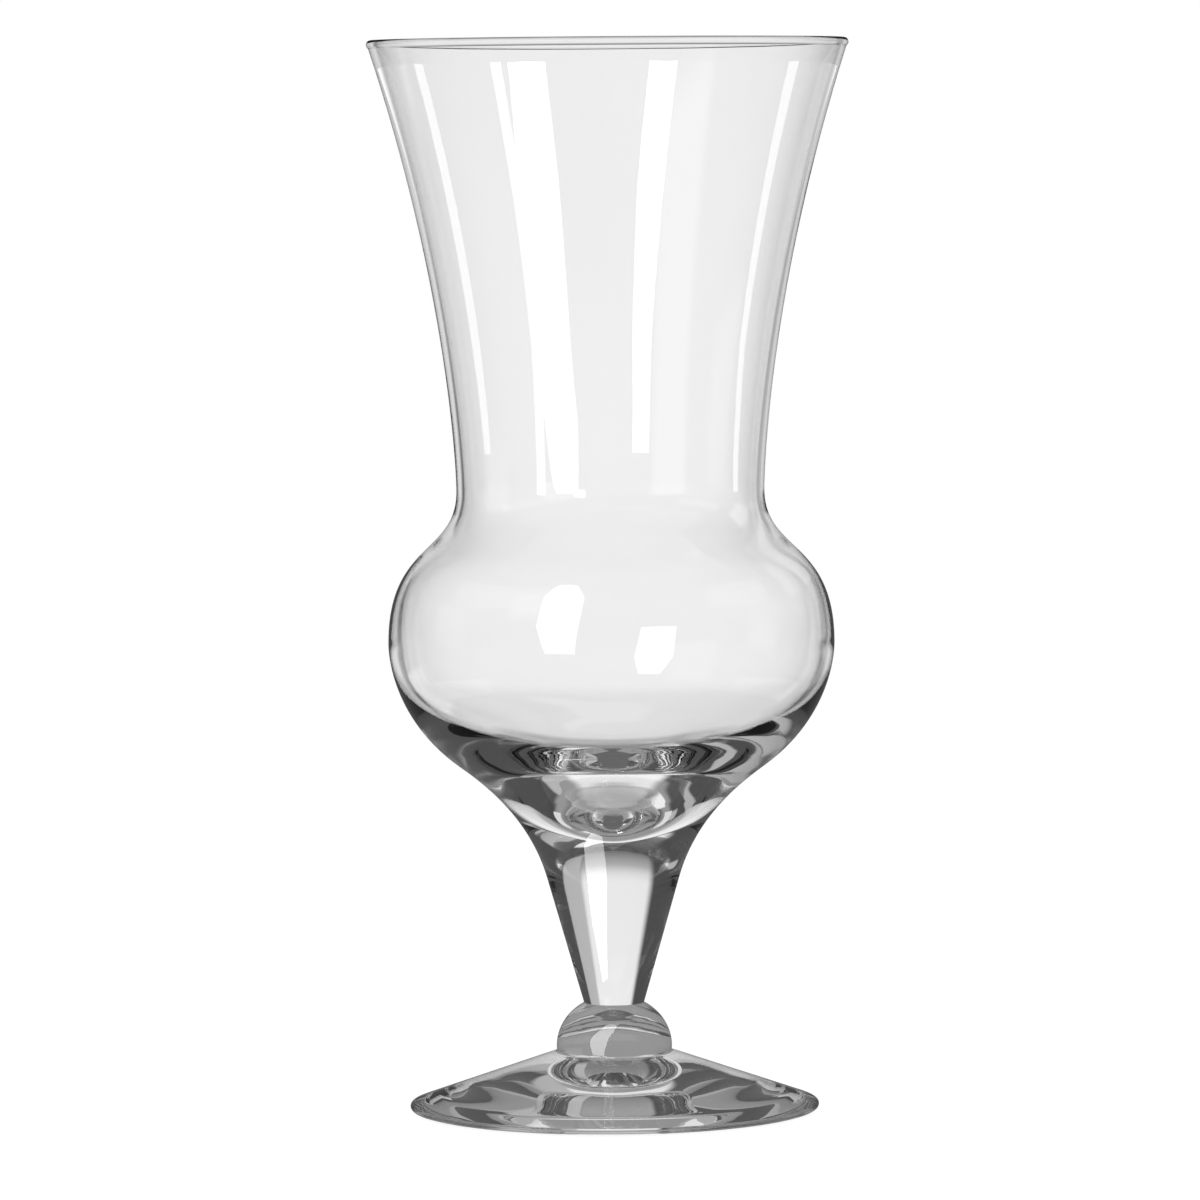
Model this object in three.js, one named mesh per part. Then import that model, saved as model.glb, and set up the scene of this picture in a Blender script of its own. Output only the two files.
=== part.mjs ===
// Cocktail glass in clear glass, made of four gathers that are fused hot, end to end, on one axis:
// a bowl with a flared mouth over a round bulb, a tapered stem, a ball knop and a coned foot.
// Each piece meets the next on a flat round face of the same radius, so the joints are full and flush.
// Millimetres, +Z up. The origin is under the centre of the foot, on the surface that the glass stands on.
import * as THREE from "three";

const degrees = THREE.MathUtils.degToRad;
const point = (r, z) => new THREE.Vector2(r, z);

// A station of the bowl's outline: its radius and height, how far the outline leans out from upright there,
// and how far that direction holds before the curve turns, below the station and above it.
function station(r, z, lean, reachBelow, reachAbove) {
  return { r, z, lean: degrees(lean), reachBelow, reachAbove };
}

// Driving dimensions: radii are from the axis, heights are above the surface that the foot stands on.
const HEIGHT = 186.8;
const RIM_R = 41.9;
const RIM_BEAD_R = 0.8;
const RIM_BEAD_WRAP = 38;
const FLARE_LEAN = 17.9;
const FLARE_REACH = 44;
const STEM_TOP = station(11.6, 40.6, 16.1, 0, 11.7);
const BASE_BEND = station(26.95, 60.4, 53.7, 4.1, 14.4);
const BULB = station(38.95, 81.7, 0, 1.5, 17.9);
const WAIST = station(26.85, 108.4, 0, 11.3, 3.5);
const INNER_WAIST = station(25.5, 108.4, 0, 12.4, 3.5);
const INNER_BULB = station(36.9, 83.3, 0, 7.1, 16.2);
const CUP_SHOULDER = station(26.95, 65.4, 58.4, 8.1, 8.3);
const CUP_FUNNEL = station(14, 57.55, 53.8, 3.3, 7.4);
const CUP_BOTTOM = station(0, 50, 90, 0, 4.9);
const KNOP_R = 10.1;
const KNOP_HALF_HEIGHT = 8.9;
const KNOP_CENTRE_Z = 10.9;
const KNOP_TOP_Z = 18.5;
const KNOP_BASE_Z = 10.2;
const FOOT_R = 35.8;
const FOOT_EDGE_R = 0.55;
const FOOT_SHOULDER = point(11.3, 9.6);
const FILLET_REACH = 0.5;
const STANDING_RING_INNER_R = 29.8;
const HOLLOW_DEPTH = 4;
const HOLLOW_FLAT_REACH = 15;
const HOLLOW_LIP_REACH = 6;

// How finely the shapes are drawn
const ROUND_STEPS = 48;
const STRETCH_STEPS = 8;
const SMALL_ARC_STEPS = 5;

// The point that lies a distance away, in a direction that leans out from straight up.
function along(start, lean, distance) {
  return point(start.x + Math.sin(lean) * distance, start.y + Math.cos(lean) * distance);
}

function smooth(start, startHandle, endHandle, end, steps) {
  return new THREE.CubicBezierCurve(start, startHandle, endHandle, end).getPoints(steps);
}

// The smooth stretch of outline that climbs from one station to the next.
function climb(lower, upper) {
  const start = point(lower.r, lower.z);
  const end = point(upper.r, upper.z);
  const startHandle = along(start, lower.lean, lower.reachAbove);
  return smooth(start, startHandle, along(end, upper.lean, -upper.reachBelow), end, STRETCH_STEPS);
}

function ellipseArc(centre, radiusR, radiusZ, from, to, steps) {
  return new THREE.EllipseCurve(centre.x, centre.y, radiusR, radiusZ, from, to, false, 0).getPoints(steps);
}

// Joins stretches end to end and drops the points that repeat.
function outline(...stretches) {
  const joined = [];
  for (const next of stretches.flat()) {
    const last = joined[joined.length - 1];
    if (!last || last.distanceTo(next) > 1e-4) joined.push(next);
  }
  return joined;
}

function clearGlass(colour) {
  return new THREE.MeshStandardMaterial({
    color: colour,
    roughness: 0.02,
    metalness: 0,
    transparent: true,
    opacity: 0.35,
  });
}

// A piece turned about the axis. Its outline leaves the axis at the bottom and comes back to it at the top.
function turned(name, profile, colour) {
  const geometry = new THREE.LatheGeometry(profile, ROUND_STEPS);
  geometry.rotateX(Math.PI / 2);
  const piece = new THREE.Mesh(geometry, clearGlass(colour));
  piece.name = name;
  return piece;
}

// Bowl: the outside climbs from the fused face up the thick base, round the bulb, in to the waist and out
// to the rim. The rim is a small fire-polished bead, a little thicker than the wall, so its round wraps past
// the half circle on both sides. The inside comes back down round the bulb, and its floor runs in as a funnel
// to a small rounded pit.
function bowl() {
  const lean = degrees(FLARE_LEAN);
  const beadCentre = point(RIM_R - RIM_BEAD_R, HEIGHT - RIM_BEAD_R);
  const wrap = degrees(RIM_BEAD_WRAP);
  const bead = ellipseArc(beadCentre, RIM_BEAD_R, RIM_BEAD_R, -lean - wrap, Math.PI - lean + wrap, STRETCH_STEPS);
  const outerLip = station(bead[0].x, bead[0].y, FLARE_LEAN, FLARE_REACH, 0);
  const innerLip = station(bead[STRETCH_STEPS].x, bead[STRETCH_STEPS].y, FLARE_LEAN, FLARE_REACH, 0);
  const profile = outline(
    point(0, STEM_TOP.z),
    climb(STEM_TOP, BASE_BEND),
    climb(BASE_BEND, BULB),
    climb(BULB, WAIST),
    climb(WAIST, outerLip),
    bead,
    climb(INNER_WAIST, innerLip).reverse(),
    climb(INNER_BULB, INNER_WAIST).reverse(),
    climb(CUP_SHOULDER, INNER_BULB).reverse(),
    climb(CUP_FUNNEL, CUP_SHOULDER).reverse(),
    climb(CUP_BOTTOM, CUP_FUNNEL).reverse(),
  );
  return turned("bowl", profile, 0xe4ecec);
}

// The knop's half width and its angle on its ellipse, at a height
const knopAngleAt = (z) => Math.asin((z - KNOP_CENTRE_Z) / KNOP_HALF_HEIGHT);
const knopRadiusAt = (z) => KNOP_R * Math.cos(knopAngleAt(z));

// Stem: a short straight taper, from the bowl's thick base down to the neck on the knop.
function stem() {
  const neck = point(knopRadiusAt(KNOP_TOP_Z), KNOP_TOP_Z);
  const top = point(STEM_TOP.r, STEM_TOP.z);
  return turned("stem", [point(0, neck.y), neck, top, point(0, top.y)], 0xdfe8e9);
}

// Knop: a slightly flattened ball, flat where it is fused to the stem above and to the foot below.
function knop() {
  const from = knopAngleAt(KNOP_BASE_Z);
  const to = knopAngleAt(KNOP_TOP_Z);
  const side = ellipseArc(point(0, KNOP_CENTRE_Z), KNOP_R, KNOP_HALF_HEIGHT, from, to, STRETCH_STEPS);
  return turned("knop", outline(point(0, KNOP_BASE_Z), side, point(0, KNOP_TOP_Z)), 0xd9e4e6);
}

// Foot: a low cone with a thin rounded edge and a small fillet under the knop. It stands on a flat ring,
// and inside the ring its underside is a shallow hollow.
function foot() {
  const top = point(knopRadiusAt(KNOP_BASE_Z), KNOP_BASE_Z);
  const edgeCentre = point(FOOT_R - FOOT_EDGE_R, FOOT_EDGE_R);
  const rise = FOOT_SHOULDER.y - 2 * FOOT_EDGE_R;
  const slope = Math.atan2(rise, edgeCentre.x - FOOT_SHOULDER.x);
  const quarter = Math.PI / 2;
  const edge = ellipseArc(edgeCentre, FOOT_EDGE_R, FOOT_EDGE_R, -quarter, quarter - slope, SMALL_ARC_STEPS);
  const hollow = smooth(
    point(0, HOLLOW_DEPTH),
    point(HOLLOW_FLAT_REACH, HOLLOW_DEPTH),
    point(STANDING_RING_INNER_R - HOLLOW_LIP_REACH, 0),
    point(STANDING_RING_INNER_R, 0),
    STRETCH_STEPS,
  );
  const fillet = smooth(
    FOOT_SHOULDER,
    along(FOOT_SHOULDER, slope - quarter, FILLET_REACH),
    along(top, 0, -FILLET_REACH),
    top,
    SMALL_ARC_STEPS,
  );
  return turned("foot", outline(hollow, edge, fillet, point(0, KNOP_BASE_Z)), 0xdde6e7);
}

const glass = new THREE.Group();
glass.add(bowl(), stem(), knop(), foot());

export default glass;
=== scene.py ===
# %% [markdown]
# # A stemmed cocktail glass in clear glass
# The real glass is four gathers of hot glass, fused end to end on one axis: a blown bowl with a flared
# mouth over a round bulb, a short stem, a solid ball knop and a coned foot. Clear glass has almost no
# colour of its own, so what the eye reads is its outline, the thickness of its wall, and the room bent
# and mirrored in it. The lesson turns each gather from its own outline, gives each a glass of its own,
# and then builds the light that clear glass needs: a white sheet behind it with darker ground on both
# sides, and soft strips of light in front.

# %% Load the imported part
import math

import bmesh
import bpy
from mathutils import Matrix, Vector
from mathutils.bvhtree import BVHTree


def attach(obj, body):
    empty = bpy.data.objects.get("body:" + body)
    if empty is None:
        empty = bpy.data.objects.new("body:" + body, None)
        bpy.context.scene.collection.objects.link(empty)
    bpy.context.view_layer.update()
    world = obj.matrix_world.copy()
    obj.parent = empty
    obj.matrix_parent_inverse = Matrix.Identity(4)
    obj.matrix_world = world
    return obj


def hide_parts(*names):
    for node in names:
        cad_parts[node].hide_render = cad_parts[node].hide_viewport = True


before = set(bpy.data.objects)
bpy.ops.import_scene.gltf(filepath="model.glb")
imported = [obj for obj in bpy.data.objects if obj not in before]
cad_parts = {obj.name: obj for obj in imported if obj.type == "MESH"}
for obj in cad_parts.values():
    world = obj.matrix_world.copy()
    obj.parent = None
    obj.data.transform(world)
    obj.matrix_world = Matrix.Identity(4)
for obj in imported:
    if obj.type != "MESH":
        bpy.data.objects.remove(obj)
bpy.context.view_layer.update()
scene = bpy.context.scene
MM = 0.001

# %% [markdown]
# ## Outlines
# A turned piece is one outline spun about the axis. A Bezier spline holds a direction at each end and
# flows between them, as a drawn curve does, so every outline here is a row of stations: a radius, a
# height, how far the outline leans out from upright there, and how far it holds that lean below and
# above.

# %% A station, and the stretch from one station to the next
def station(radius, height, lean=0.0, below=0.0, above=0.0):
    """A place on an outline, from millimetres and degrees, with its two handles."""
    at = Vector((radius, 0, height)) * MM
    way = Vector((math.sin(math.radians(lean)), 0, math.cos(math.radians(lean)))) * MM
    return {"at": at, "below": at - way * below, "above": at + way * above}


def climb(lower, upper, steps):
    """A smooth stretch that leaves the lower station and arrives at the upper one."""
    return (lower["at"], lower["above"], upper["below"], upper["at"], steps)


def straight(lower, upper, steps):
    return (lower["at"], lower["at"], upper["at"], upper["at"], steps)


# %% [markdown]
# The rim's bead, the ball knop and the foot's edge are round. A spline follows a quarter of a circle
# or an ellipse to within a few parts in ten thousand when its handles are 4/3 tan(angle / 4) of the
# radius long.

# %% A round stretch of outline
def arc(centre, radius_r, radius_z, start, end, steps):
    """A stretch of an ellipse about centre, from one angle to another, in degrees."""
    def on(angle):
        across = centre[0] + radius_r * math.cos(angle)
        up = centre[1] + radius_z * math.sin(angle)
        return Vector((across, 0, up)) * MM

    def along(angle):
        return Vector((-radius_r * math.sin(angle), 0, radius_z * math.cos(angle))) * MM

    a = math.radians(start)
    b = math.radians(end)
    reach = 4 / 3 * math.tan((b - a) / 4)
    return (on(a), on(a) + along(a) * reach, on(b) - along(b) * reach, on(b), steps)


# %% [markdown]
# Blender draws the outline as a curve object, one spline for each stretch, and turns it into plain
# edges. Points closer than MERGE, in metres, are the same point.

# %% Outline to edges
MERGE = 1e-6


def draw(stretches):
    """A bmesh that holds the outline's edges, with the stretches' meeting points merged."""
    curve = bpy.data.curves.new("outline", "CURVE")
    curve.dimensions = "3D"
    for start, start_handle, end_handle, end, steps in stretches:
        spline = curve.splines.new("BEZIER")
        spline.bezier_points.add(1)
        spline.resolution_u = steps
        for point in spline.bezier_points:
            point.handle_left_type = "FREE"
            point.handle_right_type = "FREE"
        first, last = spline.bezier_points
        first.co = start
        first.handle_left = start
        first.handle_right = start_handle
        last.co = end
        last.handle_left = end_handle
        last.handle_right = end
    holder = bpy.data.objects.new("outline", curve)
    edges = bpy.data.meshes.new_from_object(holder)
    bm = bmesh.new()
    bm.from_mesh(edges)
    bmesh.ops.remove_doubles(bm, verts=bm.verts[:], dist=MERGE)
    bpy.data.objects.remove(holder)
    bpy.data.curves.remove(curve)
    bpy.data.meshes.remove(edges)
    return bm


# %% [markdown]
# ## Turning a gather
# Where two gathers are fused, each piece ends in a flat round face of the same radius. In the real
# glass there is nothing there: the hot glass ran together. So the flat faces get a material of their
# own, which lets every ray straight through, and the edge round them stays sharp, so that the wall's
# shading doesn't bend into them. Spinning with use_merge closes the seam, merging doubles closes the
# poles, and then the normals are made to point outwards. Creases, as where the rim's bead rolls on to
# the wall, stay sharp too: smooth shading would carry a crease's bend on over the long faces of the
# wall beside it.

# %% Turn an outline into a closed gather
TURN_STEPS = 256
CREASE = math.radians(20)
LEVEL = 0.999
WELD_SLACK = 0.01


def turn(name, stretches, welds):
    """Spins an outline about Z. Its ends are carried level to the axis, which makes the fused faces."""
    bm = draw(stretches)
    for end in [v for v in bm.verts if len(v.link_edges) == 1 and v.co.x > MERGE]:
        inner = bmesh.ops.extrude_vert_indiv(bm, verts=[end])["verts"][0]
        inner.co.x = 0
    outline = bm.verts[:] + bm.edges[:]
    bmesh.ops.spin(bm, geom=outline, cent=(0, 0, 0), axis=(0, 0, 1), dvec=(0, 0, 0),
                   angle=2 * math.pi, steps=TURN_STEPS, use_merge=True)
    bmesh.ops.remove_doubles(bm, verts=bm.verts[:], dist=MERGE)
    bmesh.ops.recalc_face_normals(bm, faces=bm.faces[:])
    for face in bm.faces:
        face.smooth = True
        height = face.calc_center_median().z / MM
        at_weld = any(abs(height - weld) < WELD_SLACK for weld in welds)
        face.material_index = int(at_weld and abs(face.normal.z) > LEVEL)
    for edge in bm.edges:
        one_finish = len({face.material_index for face in edge.link_faces}) == 1
        edge.smooth = one_finish and edge.calc_face_angle() < CREASE
    mesh = bpy.data.meshes.new(name)
    bm.to_mesh(mesh)
    triangles = sum(len(face.verts) - 2 for face in bm.faces)
    open_edges = sum(not edge.is_manifold for edge in bm.edges)
    millilitres = round(bm.calc_volume() / MM ** 3 / 1000, 1)
    print(name, "triangles:", triangles, "open edges:", open_edges, "volume:", millilitres, "ml")
    bm.free()
    piece = bpy.data.objects.new(name, mesh)
    scene.collection.objects.link(piece)
    return piece


# %% [markdown]
# ## Bowl
# The outside climbs from the fused face up the thick base, round the bulb, in to the waist and out to
# the rim. The rim is fire-polished, so it ends in a small round bead, a little thicker than the wall,
# and the bead's round wraps on past the half circle on both sides. Inside, the floor of the bulb runs
# in as a funnel to a small rounded pit. The solid glass under that floor bends the light most in the
# whole glass, and the funnel is what is seen in it, as a bright curved line with a dark bowl above.

# %% Turn the bowl
HEIGHT = 186.8
RIM_R = 41.9
BEAD_R = 0.8
BEAD_WRAP = 38
FLARE_LEAN = 17.9
FLARE_REACH = 44
STEM_TOP_R = 11.6
STEM_TOP_Z = 40.6

stem_top = station(STEM_TOP_R, STEM_TOP_Z, lean=16.1, above=11.7)
base_bend = station(26.95, 60.4, lean=53.7, below=4.1, above=14.4)
bulb_out = station(38.95, 81.7, below=1.5, above=17.9)
waist_out = station(26.85, 108.4, below=11.3, above=3.5)
waist_in = station(25.5, 108.4, below=12.4, above=3.5)
bulb_in = station(36.9, 83.3, below=7.1, above=16.2)
cup_shoulder = station(26.95, 65.4, lean=58.4, below=8.1, above=8.3)
cup_funnel = station(14, 57.55, lean=53.8, below=3.3, above=7.4)
cup_bottom = station(0, 50, lean=90, above=4.9)

bead_centre = (RIM_R - BEAD_R, HEIGHT - BEAD_R)
bead_top = 90 - FLARE_LEAN
bead_out = -FLARE_LEAN - BEAD_WRAP
bead_in = 180 - FLARE_LEAN + BEAD_WRAP


def lip(angle):
    """Where the wall meets the bead, at an angle round the bead."""
    radius = bead_centre[0] + BEAD_R * math.cos(math.radians(angle))
    height = bead_centre[1] + BEAD_R * math.sin(math.radians(angle))
    return station(radius, height, lean=FLARE_LEAN, below=FLARE_REACH)


bowl = turn("bowl_blown", [
    climb(stem_top, base_bend, steps=24),
    climb(base_bend, bulb_out, steps=28),
    climb(bulb_out, waist_out, steps=40),
    climb(waist_out, lip(bead_out), steps=32),
    arc(bead_centre, BEAD_R, BEAD_R, bead_out, bead_top, steps=14),
    arc(bead_centre, BEAD_R, BEAD_R, bead_top, bead_in, steps=14),
    climb(waist_in, lip(bead_in), steps=32),
    climb(bulb_in, waist_in, steps=40),
    climb(cup_shoulder, bulb_in, steps=24),
    climb(cup_funnel, cup_shoulder, steps=20),
    climb(cup_bottom, cup_funnel, steps=24),
], welds=[STEM_TOP_Z])

# %% [markdown]
# ## Knop and stem
# The knop is a slightly flattened ball of solid glass. The stem is drawn down on to it as a short
# straight taper, so there is a crisp crease where the two meet.

# %% Turn the knop and the stem
KNOP_R = 10.1
KNOP_HALF_HEIGHT = 8.9
KNOP_CENTRE = 10.9
KNOP_TOP = 18.5
KNOP_BASE = 10.2


def knop_angle(height):
    return math.degrees(math.asin((height - KNOP_CENTRE) / KNOP_HALF_HEIGHT))


def knop_radius(height):
    return KNOP_R * math.cos(math.radians(knop_angle(height)))


ball = arc((0, KNOP_CENTRE), KNOP_R, KNOP_HALF_HEIGHT, knop_angle(KNOP_BASE), knop_angle(KNOP_TOP), 48)
knop = turn("knop_ball", [ball], welds=[KNOP_BASE, KNOP_TOP])
neck = station(knop_radius(KNOP_TOP), KNOP_TOP)
stem = turn("stem_taper", [straight(neck, stem_top, steps=32)], welds=[KNOP_TOP, STEM_TOP_Z])

# %% [markdown]
# ## Foot
# The foot is pressed as a low cone with a thin rounded edge. It stands on a flat ring, and inside the
# ring its underside is a shallow hollow. Light that enters the top of the foot can't leave through
# the underside, which mirrors it, so the hollow's shape is seen from above as rings and dark patches.

# %% Turn the foot
FOOT_R = 35.8
EDGE_R = 0.55
SHOULDER_R = 11.3
SHOULDER_Z = 9.6
FILLET_REACH = 0.5
RING_INNER_R = 29.8
HOLLOW_DEPTH = 4.0
HOLLOW_FLAT = 15
HOLLOW_LIP = 6

edge_centre = (FOOT_R - EDGE_R, EDGE_R)
slope = math.degrees(math.atan2(SHOULDER_Z - 2 * EDGE_R, edge_centre[0] - SHOULDER_R))
shoulder = station(SHOULDER_R, SHOULDER_Z, lean=slope - 90, above=FILLET_REACH)
foot_top = station(knop_radius(KNOP_BASE), KNOP_BASE, below=FILLET_REACH)
edge_top = station(edge_centre[0] + EDGE_R * math.sin(math.radians(slope)),
                   edge_centre[1] + EDGE_R * math.cos(math.radians(slope)))
hollow_top = station(0, HOLLOW_DEPTH, lean=90, above=HOLLOW_FLAT)
ring_inner = station(RING_INNER_R, 0, lean=90, below=HOLLOW_LIP)
ring_outer = station(edge_centre[0], 0)
foot = turn("foot_pressed", [
    climb(hollow_top, ring_inner, steps=64),
    straight(ring_inner, ring_outer, steps=6),
    arc(edge_centre, EDGE_R, EDGE_R, -90, 0, steps=8),
    arc(edge_centre, EDGE_R, EDGE_R, 0, 90 - slope, steps=8),
    straight(edge_top, shoulder, steps=40),
    climb(shoulder, foot_top, steps=8),
], welds=[KNOP_BASE])

# %% [markdown]
# ## Glass
# Clear soda glass bends light by about 1.51 and has no colour to speak of. Its surface is never quite
# even. The blown bowl has long slow waves, stretched upwards by the blowing. The stem and the knop
# were drawn and turned while soft, so fine level cords run round them. The foot was pressed, and low
# ripples about a centimetre long lie all over it. They are far too small to be seen as shapes, so
# they go in as bump: a height, given in millimetres, that only turns the normal a little, which is
# what breaks up the edges of the reflections.

# %% Two helpers for nodes
def node(tree, kind, **settings):
    made = tree.nodes.new(kind)
    for key, value in settings.items():
        setattr(made, key, value)
    return made


def feed(tree, socket, value):
    """Links another node's output to a socket, or sets the socket to a plain value."""
    if hasattr(value, "is_linked"):
        tree.links.new(value, socket)
    else:
        socket.default_value = value


# %% Glass with waves in its surface
CLEAR = (0.995, 0.995, 0.995)
INDEX = 1.51
SLOW_WAVES = [((70, 70, 18), 0.03)]
LEVEL_CORDS = [((60, 60, 900), 0.012), ((120, 120, 90), 0.03)]
PRESSED_RIPPLES = [((90, 90, 300), 0.04)]


def glass(name, waves):
    """Clear glass. Each wave is its stretch in x, y and z (waves a metre) and its height in mm."""
    material = bpy.data.materials.new(name)
    material.use_nodes = True
    tree = material.node_tree
    shader = tree.nodes["Principled BSDF"]
    shader.inputs["Base Color"].default_value = (*CLEAR, 1)
    shader.inputs["Roughness"].default_value = 0.0
    shader.inputs["IOR"].default_value = INDEX
    shader.inputs["Transmission Weight"].default_value = 1.0
    place = node(tree, "ShaderNodeTexCoord").outputs["Object"]
    bent = None
    for stretch, height in waves:
        spread = node(tree, "ShaderNodeMapping")
        feed(tree, spread.inputs["Vector"], place)
        spread.inputs["Scale"].default_value = stretch
        wave = node(tree, "ShaderNodeTexNoise")
        feed(tree, wave.inputs["Vector"], spread.outputs[0])
        wave.inputs["Scale"].default_value = 1
        wave.inputs["Detail"].default_value = 1
        bump = node(tree, "ShaderNodeBump")
        bump.inputs["Distance"].default_value = height * MM
        feed(tree, bump.inputs["Height"], wave.outputs[0])
        if bent:
            feed(tree, bump.inputs["Normal"], bent)
        bent = bump.outputs[0]
    feed(tree, shader.inputs["Normal"], bent)
    return material


def fused_face():
    """Nothing at all: where two gathers ran together, light goes straight on."""
    material = bpy.data.materials.new("fused_face")
    material.use_nodes = True
    tree = material.node_tree
    tree.nodes.clear()
    clear = node(tree, "ShaderNodeBsdfTransparent")
    feed(tree, node(tree, "ShaderNodeOutputMaterial").inputs["Surface"], clear.outputs[0])
    return material


# %% Give each gather its glass and its place in the part
fused = fused_face()
blown = glass("blown_glass", SLOW_WAVES)
drawn = glass("drawn_glass", LEVEL_CORDS)
pressed = glass("pressed_glass", PRESSED_RIPPLES)
for piece, finish, replaced, slot in (
    (bowl, blown, "bowl", "blown_glass"),
    (stem, drawn, "stem", "drawn_glass"),
    (knop, drawn, "knop", "drawn_glass"),
    (foot, pressed, "foot", "pressed_glass"),
):
    piece.data.materials.append(finish)
    piece.data.materials.append(fused)
    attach(piece, "root")
    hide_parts(replaced)
    print(piece.name, "is the", replaced, "in", slot)

# %% [markdown]
# ## Room
# Clear glass shows nothing of its own, so the room is half of the picture. The eye sees plain white
# behind the glass. Rays that have been through the glass or off its surface see a studio instead: a
# white sheet behind, which fades upwards and narrows where it runs under the glass as the table, dark
# ground on both sides of it, which gives the glass its dark edges, and soft patches of light to the
# sides and above. It is painted by direction: the bearing is 0 behind the glass and grows to the
# right, and the height is in degrees above level.

# %% Bearing and height of a ray
world = bpy.data.worlds.new("studio")
scene.world = world
world.use_nodes = True
sky = world.node_tree
sky.nodes.clear()
DEGREES = 180 / math.pi


def calc(operation, a, b=0.0):
    made = node(sky, "ShaderNodeMath", operation=operation)
    feed(sky, made.inputs[0], a)
    feed(sky, made.inputs[1], b)
    return made.outputs[0]


def both(a, b):
    return calc("MULTIPLY", a, b)


axes = node(sky, "ShaderNodeSeparateXYZ")
feed(sky, axes.inputs[0], node(sky, "ShaderNodeTexCoord").outputs["Generated"])
bearing = both(calc("ARCTAN2", axes.outputs["X"], axes.outputs["Y"]), DEGREES)
level = both(calc("ARCSINE", axes.outputs["Z"]), DEGREES)


# %% Soft edges and patches
def fade(value, start, end):
    """Goes smoothly from 0 at start to 1 at end. Start may be the larger."""
    made = node(sky, "ShaderNodeMapRange", interpolation_type="SMOOTHSTEP")
    feed(sky, made.inputs["Value"], value)
    rising = start < end
    made.inputs["From Min"].default_value = start if rising else end
    made.inputs["From Max"].default_value = end if rising else start
    made.inputs["To Min"].default_value = 0.0 if rising else 1.0
    made.inputs["To Max"].default_value = 1.0 if rising else 0.0
    return made.outputs["Result"]


def blend(amount, low, high):
    """low where amount is 0 and high where it is 1."""
    made = node(sky, "ShaderNodeMapRange")
    for socket, value in zip(made.inputs, (amount, 0.0, 1.0, low, high)):
        feed(sky, socket, value)
    return made.outputs["Result"]


def off(centre):
    """How many degrees a ray's bearing is away from a bearing, either way."""
    turned = calc("MODULO", calc("ADD", bearing, 540 - centre), 360)
    return calc("ABSOLUTE", calc("SUBTRACT", turned, 180))


def patch(bright, centre, half, soft, bottom, top):
    """A soft-edged patch of light. Bottom and top are (faded out, full) heights."""
    sides = fade(off(centre), half + soft, half - soft)
    return both(both(sides, both(fade(level, *bottom), fade(level, *top))), bright)


# %% Paint the sheet behind and under the glass
# Its brightness, by height
SHEET = (
    (-60, 0.05),
    (-56, 0.45),
    (-32, 0.50),
    (-27, 0.85),
    (-14, 0.90),
    (-11, 1.00),
    (2, 1.00),
    (5, 0.84),
    (9, 0.90),
    (15, 0.86),
    (19, 0.72),
    (25, 0.43),
    (35, 0.29),
    (45, 0.20),
    (60, 0.15),
)
SHEET_BEARING = -2
SHEET_HALF_UNDER = 10
SHEET_HALF_BEHIND = 24
SHEET_SOFT = 4

ramp = node(sky, "ShaderNodeValToRGB")
feed(sky, ramp.inputs[0], calc("ADD", both(level, 1 / 180), 0.5))
stops = ramp.color_ramp.elements
while len(stops) < len(SHEET):
    stops.new(0.5)
for stop, (height, bright) in zip(stops, SHEET):
    stop.position = height / 180 + 0.5
    stop.color = (bright, bright, bright, 1)
sheet_half = blend(fade(level, -60, -30), SHEET_HALF_UNDER, SHEET_HALF_BEHIND)
on_sheet = fade(calc("SUBTRACT", off(SHEET_BEARING), sheet_half), SHEET_SOFT, -SHEET_SOFT)

# %% Paint the ground beside it, and the patches of light
BESIDE = 0.07
TABLE_BESIDE = 0.32
STEEP_LEFT = 0.10
STEEP_RIGHT = 0.20
DARKEST = 0.06
PATCHES = (
    dict(bright=0.50, centre=30, half=10, soft=2, bottom=(-12, -9), top=(50, 44)),
    dict(bright=0.50, centre=-84, half=12, soft=4, bottom=(-14, -8), top=(14, 10)),
    dict(bright=0.95, centre=-45, half=12, soft=4, bottom=(-40, -36), top=(-12, -16)),
    dict(bright=0.95, centre=135, half=14, soft=5, bottom=(-34, -29), top=(-2, -6)),
    dict(bright=0.90, centre=20, half=40, soft=6, bottom=(58, 61), top=(74, 71)),
)

steep = blend(fade(bearing, -5, 5), STEEP_LEFT, STEEP_RIGHT)
table = blend(fade(level, -18, -28), TABLE_BESIDE, steep)
ground = blend(fade(level, -3, -12), BESIDE, table)
ground = both(ground, fade(level, -66, -58))
room = blend(on_sheet, calc("MAXIMUM", ground, DARKEST), ramp.outputs[0])
for soft_light in PATCHES:
    room = calc("MAXIMUM", room, patch(**soft_light))
print("painted the room with", len(PATCHES), "patches of light and", len(sky.nodes), "nodes")

# %% What each kind of ray sees
PLAIN = 0.9

rays = node(sky, "ShaderNodeLightPath")
through_glass = calc("MAXIMUM", rays.outputs["Is Glossy Ray"], rays.outputs["Is Transmission Ray"])
seen = blend(rays.outputs["Is Camera Ray"], blend(through_glass, PLAIN, room), 1.0)
background = node(sky, "ShaderNodeBackground")
background.inputs["Color"].default_value = (1, 1, 1, 1)
feed(sky, background.inputs["Strength"], seen)
feed(sky, node(sky, "ShaderNodeOutputWorld").inputs["Surface"], background.outputs[0])

# %% [markdown]
# ## Floor
# The floor is white paper. The eye sees its own white and a little of the light that falls on it, so
# the foot keeps a faint shadow and the paper's edge doesn't show. Rays from the glass go on to the
# painted room.

# %% Things of the studio, and what they glow for
def staged(name, bm, material):
    mesh = bpy.data.meshes.new(name)
    bm.to_mesh(mesh)
    bm.free()
    mesh.materials.append(material)
    thing = bpy.data.objects.new(name, mesh)
    scene.collection.objects.link(thing)
    return thing


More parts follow.
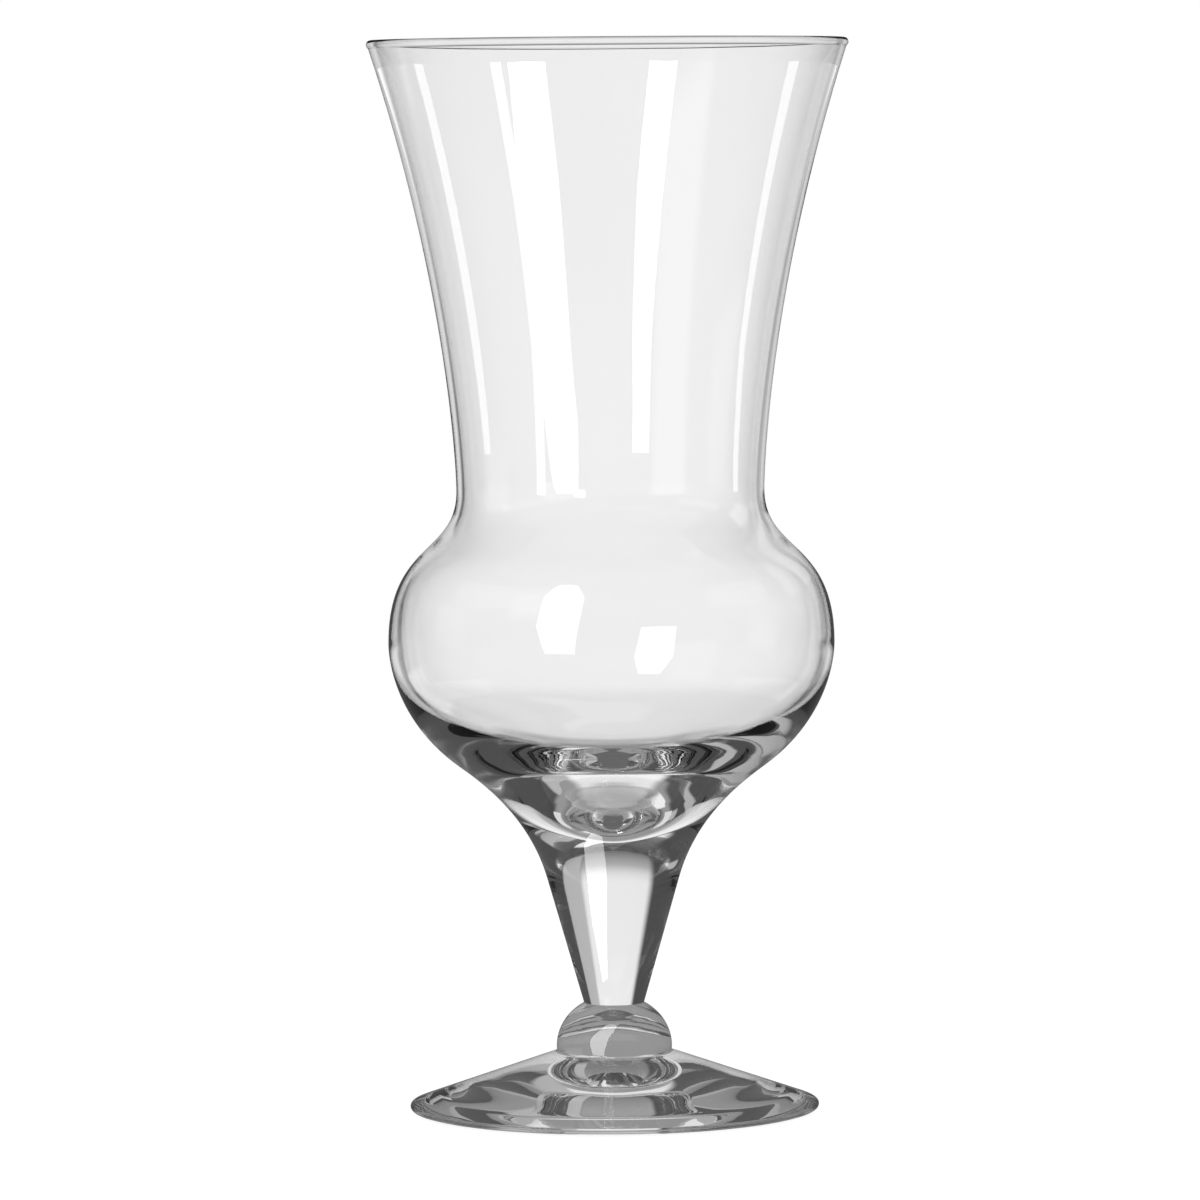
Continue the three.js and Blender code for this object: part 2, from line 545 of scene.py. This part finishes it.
def glow_or_clear(name, light, asker, question, glow_if_no=False):
    """A material that glows where a node answers yes to a question, or no, and is clear elsewhere."""
    material = bpy.data.materials.new(name)
    material.use_nodes = True
    tree = material.node_tree
    tree.nodes.clear()
    choice = node(tree, "ShaderNodeMixShader")
    feed(tree, choice.inputs[0], node(tree, asker).outputs[question])
    if_no, if_yes = choice.inputs[1], choice.inputs[2]
    shining, clear = (if_no, if_yes) if glow_if_no else (if_yes, if_no)
    feed(tree, clear, node(tree, "ShaderNodeBsdfTransparent").outputs[0])
    glow = node(tree, "ShaderNodeEmission")
    glow.inputs["Strength"].default_value = light
    feed(tree, shining, glow.outputs[0])
    surface = node(tree, "ShaderNodeOutputMaterial").inputs["Surface"]
    feed(tree, surface, choice.outputs[0])
    return material, tree, shining, glow


# %% Lay the floor
FLOOR_R = 0.45
FLOOR_Z = -0.2
PAPER_GLOW = 0.90
PAPER_GREY = 0.16

paper, tree, shining, glow = glow_or_clear("white_paper", PAPER_GLOW, "ShaderNodeLightPath",
                                           "Is Camera Ray")
lit = node(tree, "ShaderNodeBsdfDiffuse")
lit.inputs["Color"].default_value = (PAPER_GREY, PAPER_GREY, PAPER_GREY, 1)
glow_and_lit = node(tree, "ShaderNodeAddShader")
feed(tree, glow_and_lit.inputs[0], glow.outputs[0])
feed(tree, glow_and_lit.inputs[1], lit.outputs[0])
feed(tree, shining, glow_and_lit.outputs[0])
bm = bmesh.new()
bmesh.ops.create_circle(bm, cap_ends=True, segments=96, radius=FLOOR_R)
bmesh.ops.translate(bm, verts=bm.verts[:], vec=(0, 0, FLOOR_Z * MM))
floor = staged("floor", bm, paper)
print("floor:", round(2 * FLOOR_R, 2), "m across")

# %% [markdown]
# ## Sheets round the glass
# Every other light and dark sheet in the studio hangs round the axis and shines only on the side that
# faces the glass. The eye doesn't see it, and it casts no shadow. Some sheets are seen only by rays
# that are mirrored off the glass, and some only by rays that have been through it.

# %% Hang a sheet
def hang(name, rungs, light, distance=None, glossy=False, transmission=False):
    """A sheet that shines towards the axis. Its rungs are rows of corners: a bearing to the camera's
    left, a height, and a distance from the axis where that isn't the sheet's own."""
    bm = bmesh.new()
    rows = []
    for rung in rungs:
        row = []
        for left, height, *own in rung:
            across = math.radians(left)
            out = own[0] if own else distance
            corner = Vector((-math.sin(across) * out, -math.cos(across) * out, height)) * MM
            row.append(bm.verts.new(corner))
        rows.append([bm.edges.new(pair) for pair in zip(row, row[1:])])
    for lower, upper in zip(rows, rows[1:]):
        bmesh.ops.bridge_loops(bm, edges=lower + upper)
    bm.normal_update()
    away = [face for face in bm.faces if face.normal.dot(face.calc_center_median()) > 0]
    bmesh.ops.reverse_faces(bm, faces=away)
    one_sided = glow_or_clear(name, light, "ShaderNodeNewGeometry", "Backfacing", glow_if_no=True)[0]
    sheet = staged(name, bm, one_sided)
    sheet.visible_camera = False
    sheet.visible_glossy = glossy
    sheet.visible_transmission = transmission
    sheet.visible_diffuse = False
    sheet.visible_shadow = False


CORNER_STEP = 10


def bowed(start, end, height, *own):
    """A rung that bends round the glass at one height, from one bearing to another."""
    count = round(abs(end - start) / CORNER_STEP)
    return [(start + (end - start) * i / count, height, *own) for i in range(count + 1)]


def ring(height, radius):
    return bowed(-180, 180, height, radius)


# %% [markdown]
# Under the foot the paper isn't white: the glass stands in its own shade, and that shade is what fills
# the knop with grey.
# The shade is painted as grey sheets that glow only for rays through the glass. They are darkest in the
# middle, which the thick base looks steeply down on, and have a low painted-shade edge behind, which
# the knop sees along the table. White cards on both sides light the foot's thin edge.

# %% Lay the painted shade and its edge under the foot, and stand the cards
SHADE_R = 60
SHADE_Z = -0.3
SHADE_HOLE_R = 0.1
DARK_R = 13
EDGE_HEIGHT = 6
CARD_R = 120
CARD_HEIGHT = 34
CARD_HALF = 25

# Painted shade: grey glowing sheets under the foot, seen only through the glass, stand for the table in
# the glass's own shadow, with a painted-shade edge behind.
hang("painted_shade_middle", [ring(SHADE_Z, SHADE_HOLE_R), ring(SHADE_Z, DARK_R)], light=0.12, transmission=True)
hang("painted_shade", [ring(SHADE_Z, DARK_R), ring(SHADE_Z, SHADE_R)], light=0.32, transmission=True)
hang("painted_shade_edge", [bowed(110, 250, SHADE_Z), bowed(110, 250, EDGE_HEIGHT)], light=0.45, distance=SHADE_R,
     transmission=True)
for name, side in (("card_left", 90), ("card_right", -90)):
    foot_of_card = bowed(side - CARD_HALF, side + CARD_HALF, 0)
    top_of_card = bowed(side - CARD_HALF, side + CARD_HALF, CARD_HEIGHT)
    hang(name, [foot_of_card, top_of_card], light=0.8, distance=CARD_R, transmission=True)

# %% [markdown]
# ## Camera
# The camera looks slightly down on the glass from well over a metre away, so both ends of it are seen
# nearly level. It is rolled a little, because the real glass leans by as much on its foot.

# %% Set up the camera
DISTANCE = 1267 * MM
EYE_HEIGHT = 173.4 * MM
LOOK_AT = Vector((-1.95, 0, 89.1)) * MM
FRAME_WIDTH = 209.5 * MM
SENSOR = 36
ROLL = math.radians(0.42)

eye = Vector((LOOK_AT.x, -DISTANCE, EYE_HEIGHT))
lens = bpy.data.cameras.new("camera")
lens.sensor_width = SENSOR
lens.lens = SENSOR * (LOOK_AT - eye).length / FRAME_WIDTH
camera = bpy.data.objects.new("camera", lens)
scene.collection.objects.link(camera)
look = (LOOK_AT - eye).to_track_quat("-Z", "Y").to_matrix().to_4x4()
camera.matrix_world = Matrix.Translation(eye) @ look @ Matrix.Rotation(-ROLL, 4, "Z")
scene.camera = camera
print("lens: %.1f mm" % lens.lens)

# %% [markdown]
# ## Windows
# The bright strips down the flare and the two patches on the bulb are mirror images of lights in front
# of the glass, so each light is hung where its mirror image asks for it. The image is given by a few
# places on the glass, from the top down: a height, and how many degrees round to the left its two
# edges lie. The eye's ray to each place, mirrored off the glass, is followed out to the light.

# %% Mirror the eye's ray off the bowl
SLOPE_SPAN = 1.5 * MM

bm = bmesh.new()
bm.from_mesh(bowl.data)
skin = BVHTree.FromBMesh(bm)
bm.free()


def bowl_radius(height, outward):
    """The bowl's outer radius at a height, felt for from outside."""
    outside = outward * HEIGHT * MM
    outside.z = height
    hit = skin.ray_cast(outside, -outward)[0]
    return math.hypot(hit.x, hit.y)


def mirrored(height, left, distance):
    """The corner, as hang takes it, that the eye sees mirrored at a height and angle on the bowl."""
    turned = math.radians(left)
    outward = Vector((-math.sin(turned), -math.cos(turned), 0))
    height = height * MM
    spread = bowl_radius(height + SLOPE_SPAN, outward) - bowl_radius(height - SLOPE_SPAN, outward)
    normal = (outward - Vector((0, 0, spread / (2 * SLOPE_SPAN)))).normalized()
    place = outward * bowl_radius(height, outward)
    place.z = height
    way = (place - eye).normalized().reflect(normal)
    a = way.x ** 2 + way.y ** 2
    b = place.x * way.x + place.y * way.y
    c = place.x ** 2 + place.y ** 2 - (distance * MM) ** 2
    spot = place + way * (math.sqrt(b * b - a * c) - b) / a
    return math.degrees(math.atan2(-spot.x, -spot.y)), spot.z / MM


def hang_for_image(name, distance, light, image, step):
    """Hangs a light so that its mirror image runs through the places of image."""
    rungs = []
    for upper, lower in zip(image, image[1:]):
        count = max(1, round((upper[0] - lower[0]) / step))
        for i in range(count + (lower is image[-1])):
            height, left, right = (u + (v - u) * i / count for u, v in zip(upper, lower))
            rungs.append((mirrored(height, right, distance), mirrored(height, left, distance)))
    hang(name, rungs, light, distance=distance, glossy=True)
    print(name, "hangs", distance, "mm out, and its lowest corner is", round(rungs[0][0][1]), "mm high")


# %% Hang the flare's windows
FLARE_STEP = 12

hang_for_image("window_left", distance=350, light=6, step=FLARE_STEP, image=(
    (182, 24.5, 15),
    (163, 26, 14),
    (134, 25, 13),
    (121, 23.5, 11.5),
    (109.5, 20, 12),
))
hang_for_image("window_bar", distance=350, light=4, step=FLARE_STEP, image=(
    (183, 29.5, 26.5),
    (158, 28, 25),
    (134, 27, 23.5),
    (109, 28, 24.5),
))
hang_for_image("window_right", distance=495, light=6, step=FLARE_STEP, image=(
    (182, -10, -17),
    (160, -8, -15.5),
    (137, -7.5, -14),
    (116, -8, -14),
))
hang_for_image("strip_left", distance=600, light=3, step=FLARE_STEP, image=(
    (183, 54.5, 51),
    (137, 53.5, 49),
    (115.5, 52.5, 49),
))
hang_for_image("strip_right", distance=600, light=3, step=FLARE_STEP, image=(
    (183, -49.5, -53.5),
    (134, -49.5, -52.5),
    (109, -52, -55),
))

# %% [markdown]
# The bulb, the stem and the knop have small lights of their own, close by, and a dark tube outside
# these keeps the far lights out, which is what gives the bulb its dark edge. Behind the flare a dark
# sheet keeps the mirror image of the white one off its edges.

# %% Hang the near windows and the dark tube
BULB_STEP = 3

hang_for_image("bulb_window_left", distance=43, light=6, step=BULB_STEP, image=(
    (94, 14, 9.5),
    (92, 18, 7),
    (87, 19.5, 8.5),
    (82.5, 17, 9.5),
))
hang_for_image("bulb_window_right", distance=43, light=5, step=BULB_STEP, image=(
    (87, -7.5, -16.5),
    (82, -5.5, -15.5),
    (79, -6.5, -12),
))
hang("stem_window", distance=30, light=7, glossy=True, rungs=[
    ((18, 5), (36, 5)),
    ((13, 18), (43, 18)),
    ((10, 25), (42, 25)),
    ((0, 37), (30, 37)),
    ((-10, 57), (23, 57)),
])
TUBE_R = 55
TUBE_BOTTOM = -20
TUBE_TOP = 101
BACK_TOP = 182

hang("dark_tube", [ring(TUBE_BOTTOM, TUBE_R), ring(TUBE_TOP, TUBE_R)], light=0.12, glossy=True)
hang("dark_back", [bowed(115, 245, TUBE_TOP), bowed(115, 245, BACK_TOP)], light=0.04, distance=TUBE_R,
     glossy=True)

# %% [markdown]
# A dark collar round the rim, closed above by a flat ring, keeps the far lights off the bead and ends
# the strips a little below it.

# %% Darken the rim
COLLAR_R = 43.5
COLLAR_Z = 180.8
CAP_Z = 192
CAP_HOLE_R = 20
COLLAR_LIGHT = 0.03

hang("dark_collar", [ring(COLLAR_Z, COLLAR_R), ring(CAP_Z, COLLAR_R)], COLLAR_LIGHT, glossy=True)
hang("dark_cap", [ring(CAP_Z, CAP_HOLE_R), ring(CAP_Z, COLLAR_R)], COLLAR_LIGHT, glossy=True)

# %% [markdown]
# Light crosses many walls before it leaves the glass, so it is allowed many bounces.

# %% Bounces, and the size of the finished glass
MANY = 32

scene.view_settings.view_transform = "Standard"
scene.cycles.max_bounces = MANY
scene.cycles.transmission_bounces = MANY
scene.cycles.transparent_max_bounces = MANY
scene.cycles.glossy_bounces = MANY // 2
